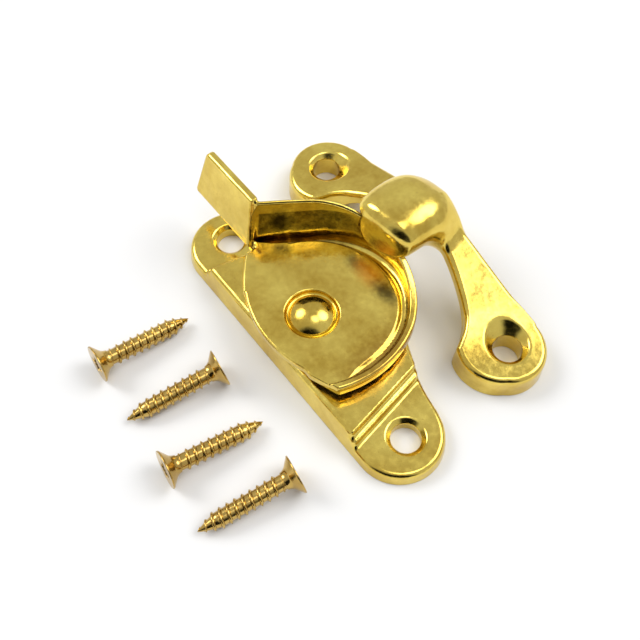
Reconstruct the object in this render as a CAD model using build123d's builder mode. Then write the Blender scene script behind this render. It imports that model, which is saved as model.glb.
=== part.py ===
"""Cam-type sash window fastener: base with a pivoting cam lever, hooked keeper, four wood screws.

Frame: origin on the mounting plane at the pivot, which is also the middle of the base's two screw
holes. +X runs along the base, +Y points to the keeper and +Z away from the window. Millimetres.
"""

import os
from math import atan2, cos, degrees, radians, sin, sqrt, tan

from build123d import *

# Base casting
HOLE_HALF_PITCH = 22.4      # pivot to screw hole, along X
SCREW_HOLE_R = 2.31         # clearance for a 3 mm wood screw
SINK_R = 3.05               # mouth of the countersink
LOBE_R = 7.12               # rounded ends of the base
LOBE_X = 21.35              # centres of those ends
LOBE_Y = -0.45
BULGE_R = 14.65             # rounded far side, about the pivot
BULGE_TANGENT = 49.0        # angle at which the flank leaves the bulge, degrees
LAND_Z = 2.5                # height of the end lobes
PLATFORM_Z = 5.0            # height of the raised middle
PLATFORM_X = 16.7           # end of the platform, measured on the X axis
PLATFORM_SLANT = 10.5       # the ends of the platform lean by this angle, degrees
WALL_DRAFT = 8.0            # draft of the side walls, degrees
CAVITY_TOP = 3.4            # ceiling of the hollow underside
CAVITY_WALL = 1.8
CAVITY_HALF_X = 14.8

# Pivot
SHANK_R = 2.0
RUNNING_FIT = 0.05          # radial, cam bore on the rivet shank
DISH_R = 4.12               # dish in the cam round the rivet head
DISH_FLOOR_Z = 6.75
HEAD_R = 3.75
HEAD_RISE = 2.5
TAIL_R = 3.0
TAIL_BOTTOM_Z = 1.0
TAIL_WASHER_R = 4.6
TAIL_WASHER_BOTTOM_Z = 2.4
SPRING_INNER_R = 2.6
SPRING_OUTER_R = 5.8

# Cam lever
CAM_BOTTOM_Z = 6.4          # underside of the plate, clear of the heads of loose screws
HUB_R = 7.4                 # boss round the bore, down to the spring washer
HUB_BOTTOM_Z = 5.65
CHANNEL_Z = 7.2             # floor of the channel inside the rim
PLATEAU_Z = 8.05
PLATEAU_R = 13.5            # far side of the plateau, about the pivot
RIM_WALL = 0.85
CHANNEL_WIDTH = 1.85
RIM_C = (0.57, 0.82)        # centre and radius of the rim's tall arc, which draws the keeper in
RIM_R = 15.75
RIM_LOW_C = (-3.38, 1.64)   # centre and radius of the rim's low arc, which passes under the hook
RIM_LOW_R = 17.15
RIM_KNEE = 67.0             # angle at which the two arcs meet, degrees
RIM_END = 164.0             # angle at which the rim runs into the tab, degrees
TIP = (13.1, -4.7)
NEAR_C = (-0.61, 10.68)     # centre and radius of the near, flattened side
NEAR_R = 18.7
CORNER = (-16.3, -0.45)     # near corner of the plate, at the root of the tab
CORNER_END = (-9.6, -5.8)
FLICK = (9.2, -5.2)         # where the near side turns out to the tip
RIM_TIP_Z = 8.65            # rim height at its low end
RIM_RAMP_X = 7.9            # the rim starts to climb here
RIM_SLOPE = -0.379          # climb of the rim along X
RIM_TOP_Z = 15.6
TAB_END_X = -31.3
TAB_END_TOP_X = -29.6
TAB_ROOT_X = -14.6
TAB_TOP_Z = 16.5
TAB_Y = -0.65               # near face of the tab at its bottom
TAB_LEAN = 2.4              # shift of the tab towards +Y at its top
TAB_THICK = 1.35
TAB_ROUND = 0.45

# Keeper
KEEPER_X = -0.93            # middle of the keeper
KEEPER_Y = 21.2             # line of its two screw holes
KEEPER_HALF_PITCH = 22.4
KEEPER_SINK_R = 3.5
LUG_R = 6.1
LUG_Z = 4.4                 # height at the screw holes
KEEPER_REAR_Y = 26.6
BRIDGE_Z = 13.0             # height of the bridge between the lugs
NOSE_HALF_W = 4.75          # half width of the hooked nose
NOSE_X = -2.2
NOSE_TOP_Z = 17.4
NOSE_FRONT_Y = 13.75
LIP_BOTTOM_Z = 9.3
SLOT_R_IN = 14.9            # groove that the rim turns in, about the pivot
SLOT_R_OUT = 17.9
SLOT_TOP_Z = 14.9
NECK_BOTTOM_Z = 7.4

# Wood screws
SCREW_LENGTH = 16.0
SCREW_HEAD_R = 3.0
SCREW_HEAD_RIM = 0.25       # height of the head's cylindrical edge
SCREW_HEAD_H = 1.75
SCREW_CORE_R = 1.05
SCREW_THREAD_R = 1.5
SCREW_NECK = 1.3            # plain length under the head
SCREW_POINT = 3.0
RECESS_R = 1.5
RECESS_W = 0.62
RECESS_DEPTH = 1.3
SCREW_PLACES = (            # head x, head y, heading from head to tip in degrees
    (-15.5, -29.7, 86.9),
    (-3.4, -15.0, -98.2),
    (5.1, -30.7, 82.9),
    (17.2, -16.1, -98.8),
)

BIG = 60.0                  # larger than the whole object, for cutting


def polar(radius, angle):
    """Point at a radius and an angle in degrees about the pivot."""
    return (radius * cos(radians(angle)), radius * sin(radians(angle)))


def write(part, name):
    """Labels a finished piece and writes it as one STEP file."""
    part.label = name
    export_step(part, f"parts/{name}.step")


def base_outline(height):
    """Outline of the base at a height: two lobes, straight near edge, bulge on the far side, drafted."""
    inset = height * tan(radians(WALL_DRAFT))
    lobe, bulge = LOBE_R - inset, BULGE_R - inset
    near_y, far_y = LOBE_Y - lobe, LOBE_Y + lobe
    foot = (bulge - far_y * sin(radians(BULGE_TANGENT))) / cos(radians(BULGE_TANGENT))
    touch = polar(bulge, BULGE_TANGENT)
    with BuildSketch(Plane.XY.offset(height)) as outline:
        with BuildLine() as right:
            Line((0, near_y), (LOBE_X, near_y))
            ThreePointArc((LOBE_X, near_y), (LOBE_X + lobe, LOBE_Y), (LOBE_X, far_y))
            Polyline((LOBE_X, far_y), (foot, far_y), touch)
            ThreePointArc(touch, polar(bulge, 70), (0, bulge))
            mirror(about=Plane.YZ)
        make_face()
        corners = outline.vertices().filter_by(lambda v: abs(abs(v.X) - foot) < 0.01 and v.Y > 0)
        fillet(corners, radius=6 + inset)
    return outline.sketch


def platform_end():
    """Side profile of the double moulding at one end of the platform, as the solid it removes."""
    with BuildPart() as cutter:
        with BuildSketch(Plane.XZ):
            with BuildLine():
                Line((0, PLATFORM_Z + 1), (0, PLATFORM_Z))
                Line((0, PLATFORM_Z), (0.15, PLATFORM_Z - 0.25))
                RadiusArc((0.15, PLATFORM_Z - 0.25), (0.85, PLATFORM_Z - 1.15), 1.0)
                Line((0.85, PLATFORM_Z - 1.15), (1.05, PLATFORM_Z - 1.3))
                RadiusArc((1.05, PLATFORM_Z - 1.3), (1.7, LAND_Z), 1.3)
                Polyline((1.7, LAND_Z), (BIG, LAND_Z), (BIG, PLATFORM_Z + 1), (0, PLATFORM_Z + 1))
            make_face()
        extrude(amount=BIG / 2, both=True)
    return cutter.part


def make_base_plate():
    """Cast base: drafted walls, raised platform with moulded ends, countersunk lobes, hollow below."""
    right_end = Pos(PLATFORM_X, 0, 0) * Rot(0, 0, PLATFORM_SLANT) * platform_end()
    left_end = mirror(right_end, about=Plane.YZ)
    with BuildPart() as base_plate:
        loft(sections=[base_outline(0), base_outline(PLATFORM_Z)], ruled=True)
        add(right_end, mode=Mode.SUBTRACT)
        add(left_end, mode=Mode.SUBTRACT)
        platform_top = base_plate.faces().filter_by(Axis.Z).group_by(Axis.Z)[-1]
        fillet(platform_top.edges().group_by(Axis.Y)[0], radius=0.5)
        with BuildSketch():
            add(base_outline(0))
            offset(amount=-CAVITY_WALL, mode=Mode.REPLACE)
            Rectangle(2 * CAVITY_HALF_X, BIG, mode=Mode.INTERSECT)
        extrude(amount=CAVITY_TOP, mode=Mode.SUBTRACT)
        with Locations((HOLE_HALF_PITCH, 0, LAND_Z), (-HOLE_HALF_PITCH, 0, LAND_Z)):
            CounterSinkHole(SCREW_HOLE_R, SINK_R, counter_sink_angle=90)
        Hole(SHANK_R + RUNNING_FIT)
    return base_plate.part


def make_pivot_rivet():
    """Pivot rivet: domed head in the cam's dish, shank, and the tail closed over its washer."""
    head_z = DISH_FLOOR_Z + RUNNING_FIT
    rim_z = head_z + 0.3
    top_z = head_z + HEAD_RISE
    dome_r = (HEAD_R ** 2 + (top_z - rim_z) ** 2) / (2 * (top_z - rim_z))
    with BuildPart() as pivot_rivet:
        with BuildSketch(Plane.XZ):
            with BuildLine():
                Polyline((0, TAIL_BOTTOM_Z),
                         (TAIL_R - 0.7, TAIL_BOTTOM_Z), (TAIL_R, TAIL_BOTTOM_Z + 0.6),
                         (TAIL_R, TAIL_WASHER_BOTTOM_Z), (SHANK_R, TAIL_WASHER_BOTTOM_Z),
                         (SHANK_R, head_z), (HEAD_R, head_z), (HEAD_R, rim_z))
                RadiusArc((HEAD_R, rim_z), (0, top_z), -dome_r)
                Line((0, top_z), (0, TAIL_BOTTOM_Z))
            make_face()
        revolve(axis=Axis.Z)
    return pivot_rivet.part


def make_tail_washer():
    """Flat washer under the base, below the rivet's tail."""
    with BuildPart() as tail_washer:
        with BuildSketch(Plane.XY.offset(TAIL_WASHER_BOTTOM_Z)):
            Circle(TAIL_WASHER_R)
            Circle(SHANK_R + RUNNING_FIT, mode=Mode.SUBTRACT)
        extrude(amount=CAVITY_TOP - TAIL_WASHER_BOTTOM_Z)
    return tail_washer.part


def make_spring_washer():
    """Conical spring washer between the platform and the underside of the cam."""
    low, high, thick = PLATFORM_Z, HUB_BOTTOM_Z - RUNNING_FIT, 0.3
    with BuildPart() as spring_washer:
        with BuildSketch(Plane.XZ):
            with BuildLine():
                Polyline((SPRING_OUTER_R, low), (SPRING_OUTER_R, low + thick), (SPRING_INNER_R, high),
                         (SPRING_INNER_R, high - thick), close=True)
            make_face()
        revolve(axis=Axis.Z)
    return spring_washer.part


def on_arc(centre, radius, angle):
    """Point of an arc about any centre, at an angle about the pivot in degrees."""
    along = (cos(radians(angle)), sin(radians(angle)))
    half = along[0] * centre[0] + along[1] * centre[1]
    gap = centre[0] ** 2 + centre[1] ** 2 - radius ** 2
    reach = half + sqrt(half * half - gap)
    return (reach * along[0], reach * along[1])


def rim_line(inset):
    """The rim's line from its low end to the tab, moved in by an inset; returns its two ends."""
    low_start = on_arc(RIM_LOW_C, RIM_LOW_R - inset, -12)
    low_end = on_arc(RIM_LOW_C, RIM_LOW_R - inset, RIM_KNEE - 4)
    high_start = on_arc(RIM_C, RIM_R - inset, RIM_KNEE + 4)
    high_end = on_arc(RIM_C, RIM_R - inset, RIM_END)
    ThreePointArc(low_start, on_arc(RIM_LOW_C, RIM_LOW_R - inset, 25), low_end)
    Line(low_end, high_start)
    ThreePointArc(high_start, on_arc(RIM_C, RIM_R - inset, 115), high_end)
    return low_start, high_end


def near_side():
    """Near edge of the cam plate, from the root of the tab to the tip."""
    Line(CORNER, CORNER_END)
    ThreePointArc(CORNER_END, (NEAR_C[0], NEAR_C[1] - NEAR_R), FLICK)
    Line(FLICK, TIP)


def cam_outline():
    """Whole plan of the cam: near side, low rim and tall rim."""
    with BuildSketch() as outline:
        with BuildLine():
            near_side()
            low_start, high_end = rim_line(0)
            Line(TIP, low_start)
            Polyline(high_end, (TAB_ROOT_X - 1.2, TAB_Y + TAB_THICK), CORNER)
        make_face()
    return outline.sketch


def channel_outline():
    """Plan of the channel between the plateau and the rim, which closes at the tip."""
    plateau_low_r = RIM_LOW_R - RIM_WALL - CHANNEL_WIDTH
    knee = on_arc(RIM_LOW_C, plateau_low_r, 52)
    bend = on_arc(RIM_LOW_C, plateau_low_r, 4)
    with BuildSketch() as outline:
        with BuildLine():
            low_start, high_end = rim_line(RIM_WALL)
            Polyline(high_end, (-14.5, 2.2), polar(PLATEAU_R, 168))
            ThreePointArc(polar(PLATEAU_R, 168), polar(PLATEAU_R, 115), polar(PLATEAU_R, 62))
            Line(polar(PLATEAU_R, 62), knee)
            ThreePointArc(knee, on_arc(RIM_LOW_C, plateau_low_r, 28), bend)
            Line(bend, low_start)
        make_face()
    return outline.sketch


def rim_outline():
    """Plan of the raised rim itself, from the tip to the root of the tab."""
    with BuildSketch() as outline:
        add(cam_outline())
        with BuildLine():
            low_start, high_end = rim_line(RIM_WALL)
            Polyline(high_end, (-14.6, TAB_Y), (-14.6, -12), (12.2, -12), (12.2, -4.4), low_start)
        make_face(mode=Mode.SUBTRACT)
    return outline.sketch


def rim_headroom():
    """Everything above the climbing top of the rim, as a solid to cut away."""
    high_x = RIM_RAMP_X + (RIM_TOP_Z - RIM_TIP_Z) / RIM_SLOPE
    with BuildPart() as headroom:
        with BuildSketch(Plane.XZ):
            with BuildLine():
                Polyline((BIG, RIM_TIP_Z), (RIM_RAMP_X, RIM_TIP_Z), (high_x, RIM_TOP_Z),
                         (-15.5, TAB_TOP_Z - 0.3), (-BIG, TAB_TOP_Z - 0.3),
                         (-BIG, BIG), (BIG, BIG), close=True)
            make_face()
        extrude(amount=BIG, both=True)
    return headroom.part


def make_tab():
    """Thumb tab: flat plate along -X that leans towards +Y, with a slanted free end."""
    with BuildPart() as tab:
        with BuildSketch(Plane.YZ.offset(TAB_ROOT_X)) as section:
            with BuildLine():
                Polyline((TAB_Y, CHANNEL_Z), (TAB_Y + TAB_THICK, CHANNEL_Z),
                         (TAB_Y + TAB_LEAN + TAB_THICK, TAB_TOP_Z),
                         (TAB_Y + TAB_LEAN, TAB_TOP_Z), close=True)
            make_face()
            fillet(section.vertices().sort_by(Axis.Y)[-2:], radius=TAB_ROUND)
        extrude(amount=TAB_END_X - TAB_ROOT_X)
        with BuildSketch(Plane.XZ) as side:
            with BuildLine():
                Polyline((TAB_ROOT_X, CHANNEL_Z), (TAB_END_X, CHANNEL_Z), (TAB_END_TOP_X, TAB_TOP_Z),
                         (TAB_ROOT_X, TAB_TOP_Z), close=True)
            make_face()
            fillet(side.vertices().sort_by(Axis.X)[:2], radius=2 * TAB_ROUND)
        extrude(amount=BIG / 2, both=True, mode=Mode.INTERSECT)
    return tab.part


def make_cam_lever():
    """Cam lever: plate with the plateau, the channel, the climbing rim and the thumb tab."""
    headroom = rim_headroom()
    tab = make_tab()
    with BuildPart() as cam_lever:
        with BuildSketch(Plane.XY.offset(CAM_BOTTOM_Z)):
            add(cam_outline())
        extrude(amount=PLATEAU_Z - CAM_BOTTOM_Z)
        with BuildSketch(Plane.XY.offset(HUB_BOTTOM_Z)):
            Circle(HUB_R)
        extrude(amount=CAM_BOTTOM_Z - HUB_BOTTOM_Z)
        with BuildSketch(Plane.XY.offset(CHANNEL_Z)):
            add(rim_outline())
        extrude(amount=TAB_TOP_Z - CHANNEL_Z)
        add(headroom, mode=Mode.SUBTRACT)
        with BuildSketch(Plane.XY.offset(CHANNEL_Z)):
            add(channel_outline())
        extrude(amount=BIG, mode=Mode.SUBTRACT)
        add(tab)
        with Locations((0, 0, PLATEAU_Z)):
            CounterBoreHole(SHANK_R + RUNNING_FIT, DISH_R, PLATEAU_Z - DISH_FLOOR_Z)
    return cam_lever.part


def keeper_plan():
    """Plan of the keeper on one side of its middle: lug, arm and half of the bridge."""
    lug_x = KEEPER_HALF_PITCH
    front = KEEPER_Y - 7.3
    with BuildSketch() as plan:
        with BuildLine():
            Line((0, KEEPER_REAR_Y), (lug_x - 4, KEEPER_REAR_Y - 0.1))
            lug_end = (lug_x + LUG_R, KEEPER_Y - 0.6)
            ThreePointArc((lug_x - 4, KEEPER_REAR_Y - 0.1), (lug_x + 4.4, KEEPER_Y + 4.0), lug_end)
            ThreePointArc(lug_end, (lug_x + 3.6, KEEPER_Y - 5.6), (lug_x - 3.7, front))
            Line((lug_x - 3.7, front), (lug_x - 6.3, KEEPER_Y - 2.9))
            ThreePointArc((lug_x - 6.3, KEEPER_Y - 2.9), (9.6, 21.1), (4.4, 23.2))
            Polyline((4.4, 23.2), (0, 23.2), (0, KEEPER_REAR_Y))
        make_face()
    return plan.sketch


def keeper_side():
    """Front view of one half of the keeper: the lug's block and the arched arm."""
    lug_x = KEEPER_HALF_PITCH
    with BuildSketch(Plane.XZ) as side:
        with BuildLine():
            Polyline((lug_x - 7.5, 0), (lug_x + 8, 0), (lug_x + 8, 2.8), (lug_x, LUG_Z))
            Spline((lug_x, LUG_Z), (13.5, 7.4), (5.5, 12.3), (0, BRIDGE_Z),
                   tangents=[(-1, 0.24), (-1, 0)])
            Line((0, BRIDGE_Z), (0, BRIDGE_Z - 2.4))
            Spline((0, BRIDGE_Z - 2.4), (5.2, 9.9), (12.0, 5.1), (lug_x - 7.5, 0),
                   tangents=[(1, 0), (0.35, -1)])
        make_face()
    return side.sketch


def keeper_half():
    """One arm of the keeper, as the plan taken through the front view."""
    with BuildPart() as half:
        with BuildSketch():
            add(keeper_plan())
        extrude(amount=BIG / 2)
        with BuildSketch(Plane.XZ):
            add(keeper_side())
        extrude(amount=-BIG, mode=Mode.INTERSECT)
    return half.part


def make_nose():
    """Hooked nose over the cam's rim: rounded block with a lip inside the rim and a neck behind it."""
    with BuildPart() as nose:
        with BuildSketch(Plane.YZ.offset(NOSE_X)):
            with BuildLine():
                lip = (NOSE_FRONT_Y + 0.6, LIP_BOTTOM_Z)
                brow = (NOSE_FRONT_Y + 0.5, 14.5)
                heel = (KEEPER_REAR_Y - 0.3, BRIDGE_Z - 0.6)
                Polyline(lip, (NOSE_FRONT_Y, 12.0), brow)
                Spline(brow, (16.6, NOSE_TOP_Z), (21.0, 16.5), heel, tangents=[(0.25, 1), (0.75, -1)])
                Polyline(heel, (KEEPER_REAR_Y - 0.6, BRIDGE_Z - 2.4),
                         (22.5, NECK_BOTTOM_Z + 1.5), (21.0, NECK_BOTTOM_Z), (18.4, NECK_BOTTOM_Z),
                         (18.4, LIP_BOTTOM_Z), lip)
            make_face()
        extrude(amount=NOSE_HALF_W, both=True)
        with BuildSketch():
            with Locations((NOSE_X, 20.0)):
                RectangleRounded(2 * NOSE_HALF_W, 13.2, radius=2.6)
        extrude(amount=BIG, mode=Mode.INTERSECT)
        with BuildSketch():
            Circle(SLOT_R_OUT)
            Circle(SLOT_R_IN, mode=Mode.SUBTRACT)
        extrude(amount=SLOT_TOP_Z, mode=Mode.SUBTRACT)
    return nose.part


def make_keeper():
    """Keeper: two arched arms, the hooked nose and two countersunk screw holes."""
    right = keeper_half()
    left = mirror(right, about=Plane.YZ)
    nose = make_nose()
    with BuildPart() as keeper:
        add(Pos(KEEPER_X, 0, 0) * right)
        add(Pos(KEEPER_X, 0, 0) * left)
        add(nose)
        lug_middles = (KEEPER_X - KEEPER_HALF_PITCH, KEEPER_X + KEEPER_HALF_PITCH)
        with Locations(*[(x, KEEPER_Y, LUG_Z - 0.3) for x in lug_middles]):
            CounterSinkHole(SCREW_HOLE_R, KEEPER_SINK_R - 0.3, counter_sink_angle=90)
    return keeper.part


def make_screw():
    """Countersunk cross-recess wood screw, head face up at the origin and point towards -Z."""
    shank_z = -SCREW_HEAD_H
    thread_z = shank_z - SCREW_NECK
    point_z = -SCREW_LENGTH + SCREW_POINT
    with BuildPart() as screw:
        with BuildSketch(Plane.XZ):
            with BuildLine():
                Polyline((0, 0), (SCREW_HEAD_R, 0), (SCREW_HEAD_R, -SCREW_HEAD_RIM),
                         (SCREW_CORE_R + 0.2, shank_z),
                         (SCREW_CORE_R + 0.2, thread_z), (SCREW_THREAD_R, thread_z - 0.5),
                         (SCREW_THREAD_R, point_z), (0.12, -SCREW_LENGTH), (0, -SCREW_LENGTH), close=True)
            make_face()
        revolve(axis=Axis.Z)
        with BuildSketch():
            Rectangle(2 * RECESS_R, RECESS_W)
            Rectangle(RECESS_W, 2 * RECESS_R)
        extrude(amount=-RECESS_DEPTH, mode=Mode.SUBTRACT)
    return screw.part


def lying(screw, x, y, heading):
    """The screw on its side, resting on its head's edge and its thread, pointing along the heading."""
    tilt = atan2(SCREW_HEAD_R - SCREW_THREAD_R, SCREW_LENGTH - SCREW_POINT - SCREW_HEAD_RIM)
    head_z = SCREW_HEAD_R * cos(tilt) + SCREW_HEAD_RIM * sin(tilt)
    place = Pos(x, y, head_z) * Rot(0, 0, heading) * Rot(0, degrees(tilt) - 90, 0)
    return place * screw


def main():
    """Makes every piece and writes it."""
    os.makedirs("parts", exist_ok=True)
    write(make_base_plate(), "base_plate")
    write(make_pivot_rivet(), "pivot_rivet")
    write(make_tail_washer(), "tail_washer")
    write(make_spring_washer(), "spring_washer")
    write(make_cam_lever(), "cam_lever")
    write(make_keeper(), "keeper")
    screw = make_screw()
    for number, (x, y, heading) in enumerate(SCREW_PLACES, start=1):
        write(lying(screw, x, y, heading), f"wood_screw_{number}")


if __name__ == "__main__":
    main()
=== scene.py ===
"""Visual model of a cam-type sash window fastener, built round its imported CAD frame."""

import logging
import math
from collections.abc import Callable
from dataclasses import dataclass
from enum import Enum
from itertools import product

import bpy
import numpy as np
from mathutils import Matrix, Vector


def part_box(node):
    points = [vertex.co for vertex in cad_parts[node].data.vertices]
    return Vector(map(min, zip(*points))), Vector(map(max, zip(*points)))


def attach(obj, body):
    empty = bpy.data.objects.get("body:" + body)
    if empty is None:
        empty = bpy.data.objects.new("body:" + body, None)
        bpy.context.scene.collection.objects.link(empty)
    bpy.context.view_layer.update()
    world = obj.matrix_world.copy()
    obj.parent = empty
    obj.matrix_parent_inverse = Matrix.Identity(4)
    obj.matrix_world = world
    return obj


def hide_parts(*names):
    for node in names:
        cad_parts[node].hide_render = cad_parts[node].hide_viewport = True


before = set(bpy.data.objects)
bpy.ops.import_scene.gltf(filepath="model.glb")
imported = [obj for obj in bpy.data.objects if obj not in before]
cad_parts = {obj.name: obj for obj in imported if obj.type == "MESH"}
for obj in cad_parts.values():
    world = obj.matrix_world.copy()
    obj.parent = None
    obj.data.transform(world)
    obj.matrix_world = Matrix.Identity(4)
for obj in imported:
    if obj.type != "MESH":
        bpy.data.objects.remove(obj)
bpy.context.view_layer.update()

LOG = logging.getLogger("fastener")
MM = 0.001
Points = np.ndarray
Distance = Callable[[Points], np.ndarray]
Pair = tuple[float, float]
Colour = tuple[float, float, float]


class Body(Enum):
    """The CAD bodies that pieces ride on."""

    BASE = "base"
    LEVER = "lever"
    KEEPER = "keeper"
    SCREW_1 = "screw_1"
    SCREW_2 = "screw_2"
    SCREW_3 = "screw_3"
    SCREW_4 = "screw_4"


class Slot(Enum):
    """The record's material slots."""

    CASTING = "polished_brass"
    SCREW = "screw_brass"
    SPRING = "spring_bronze"


# --- Forms: solids as signed distances in millimetres -------------------------------------------


def rounded_corner(a: np.ndarray, b: np.ndarray, radius: float) -> np.ndarray:
    """Distance to what two solids share, with a round edge.

    Args:
        a: Distances to the first solid.
        b: Distances to the second solid.
        radius: Radius of the edge where they meet.

    Returns:
        Distances to the shared solid.
    """
    if radius <= 0:
        return np.maximum(a, b)
    reach = np.hypot(np.maximum(a + radius, 0), np.maximum(b + radius, 0))
    return np.minimum(np.maximum(a, b), -radius) + reach


class Form:
    """A solid given by a signed distance, negative inside. Points are an array of rows x, y, z."""

    def __init__(self, distance: Distance) -> None:
        """Wraps a distance function."""
        self.distance = distance

    def __call__(self, at: Points) -> np.ndarray:
        """Distances at the points."""
        return self.distance(at)

    def common(self, other: "Form", edge: float = 0.0) -> "Form":
        """What is in both solids, with a round edge of that radius."""
        return Form(lambda at: rounded_corner(self(at), other(at), edge))

    def cut(self, other: "Form", edge: float = 0.0) -> "Form":
        """This solid without the other, with a round edge of that radius."""
        return Form(lambda at: rounded_corner(self(at), -other(at), edge))

    def join(self, other: "Form", fillet: float = 0.0) -> "Form":
        """Both solids as one, with a fillet of that radius in the corner."""
        return Form(lambda at: -rounded_corner(-self(at), -other(at), fillet))

    def grown(self, by: float) -> "Form":
        """This solid with that much more on every side."""
        return Form(lambda at: self(at) - by)

    def drafted(self, degrees: float) -> "Form":
        """This upright solid with walls that lean in as they rise from z = 0."""
        lean = math.tan(math.radians(degrees))
        return Form(lambda at: (self(at) + at[2] * lean) / math.hypot(1, lean))


def disc(x: float, y: float, radius: float) -> Form:
    """Upright cylinder without ends."""
    return Form(lambda at: np.hypot(at[0] - x, at[1] - y) - radius)


def below(z: float) -> Form:
    """Everything under a height."""
    return Form(lambda at: at[2] - z)


def above(z: float) -> Form:
    """Everything over a height."""
    return Form(lambda at: z - at[2])


def layer(low: float, high: float) -> Form:
    """Everything between two heights."""
    return Form(lambda at: np.abs(at[2] - (low + high) / 2) - (high - low) / 2)


def behind(normal: tuple[float, float, float], through: tuple[float, float, float]) -> Form:
    """The half of space behind a plane.

    Args:
        normal: Outward normal of the plane, of any length.
        through: A point on the plane.

    Returns:
        The solid half space.
    """
    n = np.array(normal) / np.linalg.norm(normal)
    offset = float(n @ np.array(through))
    return Form(lambda at: n @ at - offset)


def cone(x: float, y: float, z: float, radius: float, flare: float) -> Form:
    """Upright cone without ends.

    Args:
        x: Axis.
        y: Axis.
        z: Height at which the radius is measured.
        radius: Radius at that height.
        flare: Growth of the radius with height.

    Returns:
        The cone.
    """
    scale = math.hypot(1, flare)
    return Form(lambda at: (np.hypot(at[0] - x, at[1] - y) - radius - (at[2] - z) * flare) / scale)


def swelling(middle: tuple, radii: tuple, power: float) -> Form:
    """Ellipsoid whose power is over 2 where it is squarer than a true one.

    Args:
        middle: Its middle.
        radii: Its half lengths along x, y and z.
        power: 2 for a true ellipsoid.

    Returns:
        The solid.
    """
    centre = np.array(middle)[:, None]
    half = np.array(radii)[:, None]

    def distance(at: Points) -> np.ndarray:
        """Distance, to first order near the surface."""
        share = np.abs(at - centre) / half
        size = np.maximum((share ** power).sum(0), 1e-9) ** (1 / power)
        slope = np.linalg.norm((share / size) ** (power - 1) / half, axis=0)
        return (size - 1) / np.maximum(slope, 1 / half.max())

    return Form(distance)


def prism(corners: "list[Pair] | tuple[Pair, ...]", axes: tuple[int, int] = (0, 1)) -> Form:
    """Endless prism over a polygon.

    Args:
        corners: The polygon's corners in order.
        axes: The two coordinates that the corners are given in.

    Returns:
        The prism.
    """
    ring = np.array(corners, float)

    def distance(at: Points) -> np.ndarray:
        """Exact distance to the polygon's outline, signed by crossings."""
        u, v = at[axes[0]], at[axes[1]]
        nearest = np.full(u.shape, np.inf)
        inside = np.zeros(u.shape, bool)
        for (ax, ay), (bx, by) in zip(ring, np.roll(ring, -1, axis=0)):
            dx, dy = bx - ax, by - ay
            along = np.clip(((u - ax) * dx + (v - ay) * dy) / (dx * dx + dy * dy), 0, 1)
            nearest = np.minimum(nearest, np.hypot(u - ax - along * dx, v - ay - along * dy))
            if ay != by:
                inside ^= ((ay > v) != (by > v)) & (u < ax + (v - ay) * dx / dy)
        return np.where(inside, -nearest, nearest)

    return Form(distance)


def gradient(form: Form, at: Points, step: float = 0.01) -> Points:
    """Direction in which the distance grows, by central differences."""
    rows = []
    for axis in range(3):
        shift = np.zeros((3, 1))
        shift[axis] = step
        rows.append((form(at + shift) - form(at - shift)) / (2 * step))
    return np.array(rows)


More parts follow.
